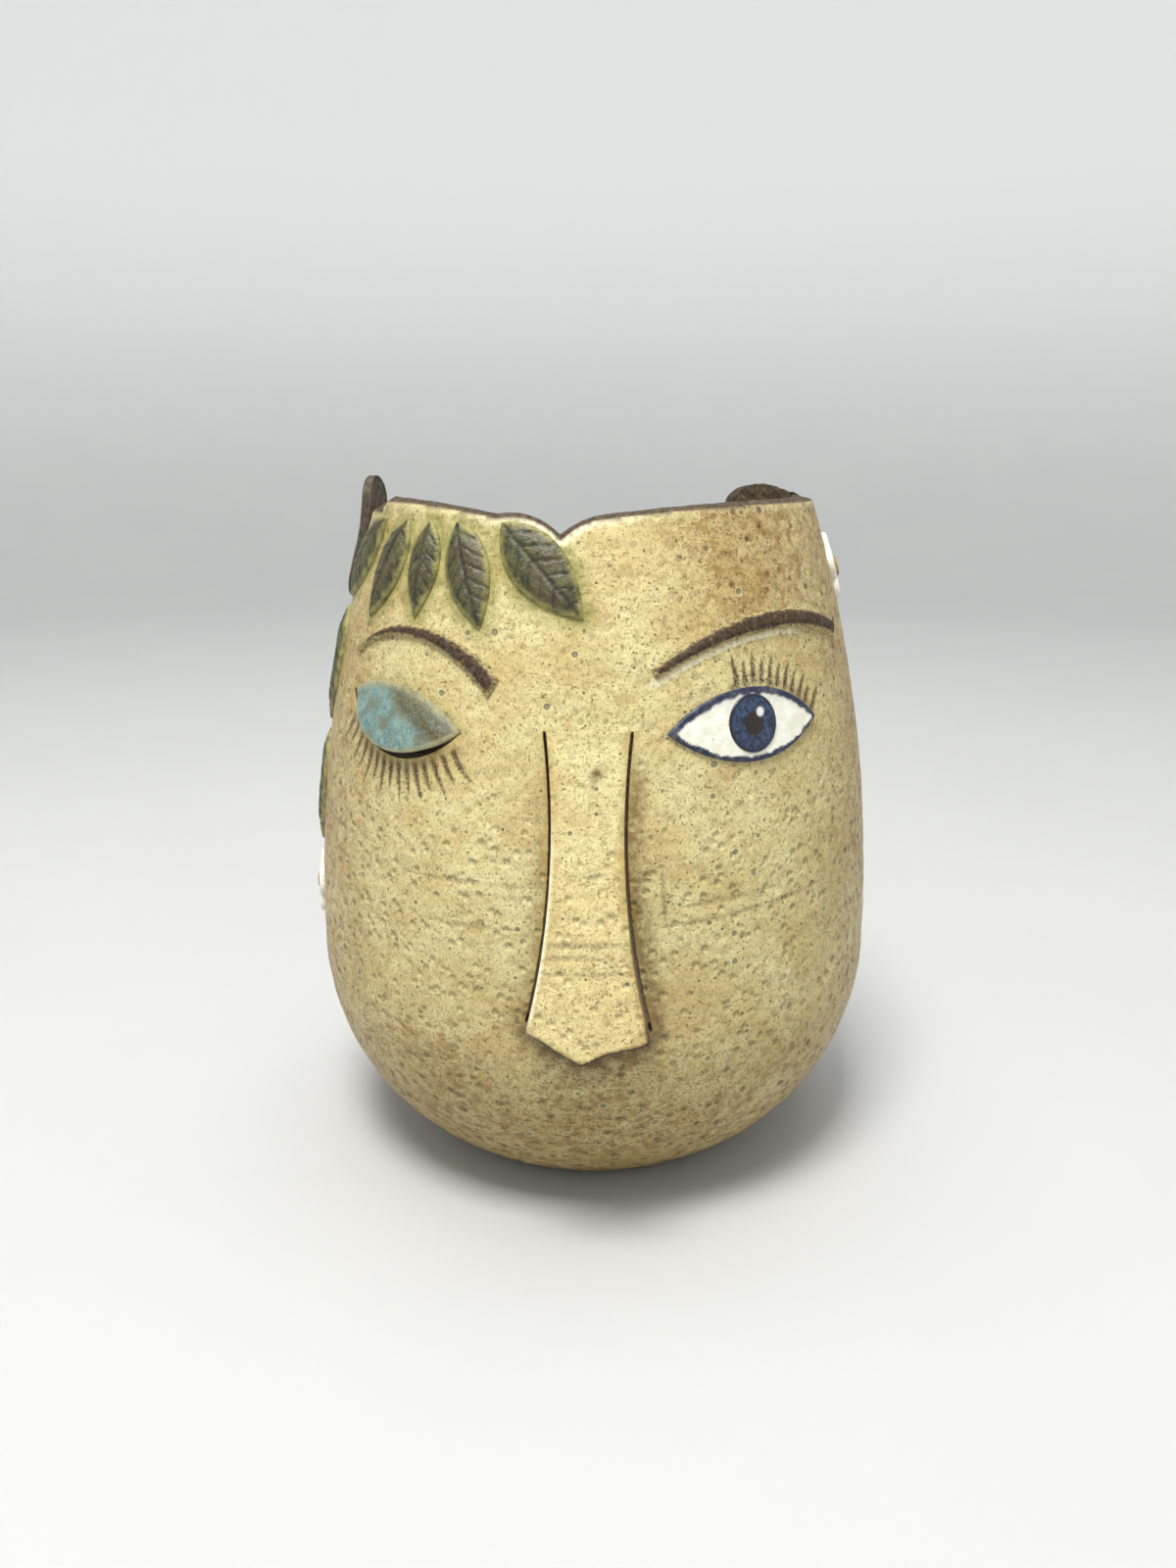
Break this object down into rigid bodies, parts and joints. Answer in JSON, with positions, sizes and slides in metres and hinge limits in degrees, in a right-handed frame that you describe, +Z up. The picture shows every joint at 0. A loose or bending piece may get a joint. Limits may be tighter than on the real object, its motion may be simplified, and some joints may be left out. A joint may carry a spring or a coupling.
{
  "type": "face vase",
  "caption": "Egg-shaped stoneware vase with a winking face in relief, a cut scalloped rim and pressed-on leaves, open at the top to hold flowers.",
  "frame": {"origin": "middle of the flat foot, on the surface that the vase stands on", "axes": "+Z up along the vessel's axis, -Y out of the front where the nose stands, +X to the right of a viewer who faces the nose"},
  "size_m": [0.1426, 0.1477, 0.1656],
  "materials": {
    "speckled_glaze": "satin",
    "bare_clay": "matte",
    "lid_glaze": "satin",
    "iron_brown": "matte",
    "white_slip": "satin",
    "cobalt": "satin",
    "leaf_green": "gloss",
    "grey_brown": "matte",
    "ochre": "satin"
  },
  "bodies": {
    "root": {"vase_wall": "speckled_glaze", "floor_disc": "bare_clay", "nose_strip": "speckled_glaze", "closed_eyelid": "lid_glaze", "eye_white": "white_slip", "eye_iris": "cobalt", "left_brow": "iron_brown", "right_brow": "iron_brown", "left_rim_ear": "grey_brown", "fan_leaf_1": "leaf_green", "fan_leaf_2": "leaf_green", "fan_leaf_3": "leaf_green", "fan_leaf_4": "leaf_green", "fan_leaf_5": "leaf_green", "trail_leaf_1": "leaf_green", "trail_leaf_2": "leaf_green", "left_blossom": "white_slip", "left_blossom_button": "ochre", "right_blossom": "white_slip", "right_blossom_button": "ochre"}
  },
  "joints": []
}
